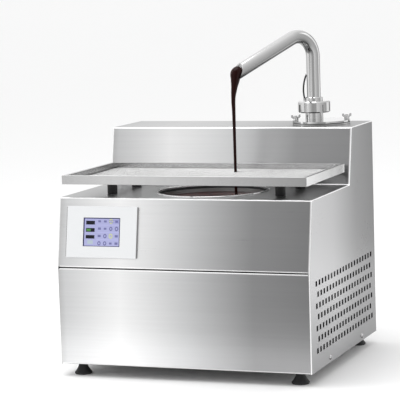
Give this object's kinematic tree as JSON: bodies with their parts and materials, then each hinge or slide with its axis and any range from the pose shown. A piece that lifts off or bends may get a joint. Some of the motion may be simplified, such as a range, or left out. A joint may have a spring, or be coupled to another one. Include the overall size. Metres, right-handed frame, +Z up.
{
  "type": "table-top chocolate melting machine with pump spout",
  "caption": "Table-top chocolate melting machine: sheet-steel housing, bowl in the deck under a lift-off grid tray, touch panel, screw pump and curved swivelling spout.",
  "frame": {"origin": "on the floor under the middle of the body (the middle between the side panels and between the front and the rear panel)", "axes": "+X to the user's right, +Y to the rear, +Z up; the seam, the touch panel and the bowl face -Y"},
  "size_m": [0.4244, 0.3759, 0.5351],
  "materials": {
    "satin_steel": "satin stainless sheet, brushed level",
    "polished_steel": "polished stainless",
    "inner_steel": "plain stainless, unpolished",
    "black_rubber": "matt black",
    "white_plastic": "smooth white moulding",
    "screen_glass": "lit screen behind clear glass",
    "dark_plastic": "fine grained black",
    "red_plastic": "smooth red moulding",
    "lead_sheath": "smooth black sheath",
    "heater_mat": "orange silicone mat",
    "scraper_plastic": "white food-safe plastic",
    "gear_paint": "dark grey enamel",
    "supply_case": "plain aluminium case",
    "board_green": "green circuit board",
    "spacer_brass": "turned brass"
  },
  "bodies": {
    "machine": {"top_cover": "satin_steel", "front_panel": "satin_steel", "left_side_panel": "satin_steel", "right_side_panel": "satin_steel", "rear_panel": "satin_steel", "base_pan": "inner_steel", "panel_screws": "polished_steel", "foot_front_left": "black_rubber", "foot_front_right": "black_rubber", "foot_rear_left": "black_rubber", "foot_rear_right": "black_rubber", "foot_nuts": "polished_steel", "touch_bezel": "white_plastic", "display_glass": "screen_glass", "display_case": "dark_plastic", "display_clips": "inner_steel", "bowl_bead": "polished_steel", "bowl_seal": "black_rubber", "bowl": "inner_steel", "bowl_clamp_ring": "inner_steel", "bowl_fasteners": "polished_steel", "bowl_heater": "heater_mat", "bowl_sensor": "polished_steel", "agitator_seal": "black_rubber", "agitator_gearmotor": "gear_paint", "transfer_pipe": "inner_steel", "auger_barrel": "inner_steel", "barrel_heater": "heater_mat", "auger_seal": "black_rubber", "pump_stand": "inner_steel", "pump_gearmotor": "gear_paint", "pump_gasket": "black_rubber", "pump_head": "polished_steel", "flange_studs": "polished_steel", "union_seal": "black_rubber", "power_supply": "supply_case", "control_board": "board_green", "board_spacers": "spacer_brass", "fan_frame": "dark_plastic", "fan_guard": "polished_steel", "power_inlet": "dark_plastic", "switch_frame": "dark_plastic"},
    "tray": {"tray_frame": "polished_steel", "tray_grid": "polished_steel", "tray_feet": "black_rubber", "tray_screws": "polished_steel"},
    "spout": {"spout_collar": "polished_steel", "spout_riser": "polished_steel", "spout_tube": "polished_steel", "probe_fitting": "polished_steel", "probe_lead": "lead_sheath"},
    "union_nut": {"union_nut": "polished_steel"},
    "wing_nut_left": {"wing_nut_left": "polished_steel"},
    "wing_nut_right": {"wing_nut_right": "polished_steel"},
    "pump_screw": {"auger_screw": "inner_steel"},
    "agitator": {"agitator": "scraper_plastic", "agitator_shaft": "polished_steel"},
    "fan": {"fan_rotor": "dark_plastic"},
    "rocker": {"switch_rocker": "red_plastic"}
  },
  "joints": [
    {"name": "tray_lift", "type": "slide", "parent": "machine", "child": "tray", "axis": [0, 0, 1], "range_m": [0, 0.1]},
    {"name": "spout_swivel", "type": "hinge", "parent": "machine", "child": "spout", "pos_m": [0.125, 0.132, 0.42], "axis": [0, 0, 1], "range_deg": [-15, 15]},
    {"name": "union_nut_turn", "type": "hinge", "parent": "machine", "child": "union_nut", "pos_m": [0.125, 0.132, 0.405], "axis": [0, 0, 1], "range_deg": [0, 90]},
    {"name": "wing_nut_left_turn", "type": "hinge", "parent": "machine", "child": "wing_nut_left", "pos_m": [0.09719, 0.11712, 0.387], "axis": [0, 0, 1], "range_deg": [0, 720]},
    {"name": "wing_nut_right_turn", "type": "hinge", "parent": "machine", "child": "wing_nut_right", "pos_m": [0.17681, 0.14688, 0.387], "axis": [0, 0, 1], "range_deg": [0, 720]},
    {"name": "pump_screw_spin", "type": "hinge", "parent": "machine", "child": "pump_screw", "pos_m": [0.137, 0.132, 0.2], "axis": [0, 0, 1], "continuous": true},
    {"name": "agitator_spin", "type": "hinge", "parent": "machine", "child": "agitator", "pos_m": [0.012, -0.061, 0.13], "axis": [0, 0, 1], "continuous": true},
    {"name": "fan_spin", "type": "hinge", "parent": "machine", "child": "fan", "pos_m": [-0.105, 0.172, 0.188], "axis": [0, 1, 0], "continuous": true},
    {"name": "rocker_tip", "type": "hinge", "parent": "machine", "child": "rocker", "pos_m": [0.05, 0.183, 0.09], "axis": [1, 0, 0], "range_deg": [0, 20]}
  ]
}
